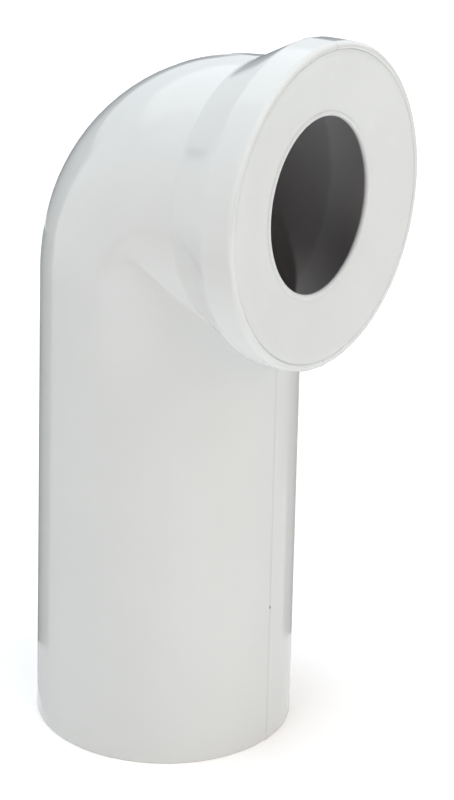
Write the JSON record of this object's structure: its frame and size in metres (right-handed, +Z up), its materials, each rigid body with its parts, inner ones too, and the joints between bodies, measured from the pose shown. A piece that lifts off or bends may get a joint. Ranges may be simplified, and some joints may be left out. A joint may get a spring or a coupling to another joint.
{
  "type": "toilet connection bend",
  "caption": "White right-angle plastic drain bend with a long plain spigot and a short flared socket, closed by a soft push-in lip seal with a round hole.",
  "frame": {"origin": "centre of the spigot's open end, on the spigot's axis", "axes": "+Z up the spigot's axis towards the bend, +X along the outlet axis out of the socket, +Y completes a right-handed frame"},
  "size_m": [0.13, 0.1264, 0.2972],
  "materials": {
    "white_moulding": "glossy white injection moulding",
    "white_rubber": "satin white soft rubber",
    "ring_plastic": "plain grey moulding"
  },
  "bodies": {
    "elbow": {"elbow_body": "white_moulding"},
    "seal": {"lip_seal": "white_rubber", "seal_support_ring": "ring_plastic"}
  },
  "joints": [
    {"name": "seal_pull", "type": "slide", "parent": "elbow", "child": "seal", "axis": [1, 0, 0], "range_m": [0, 0.03]}
  ]
}
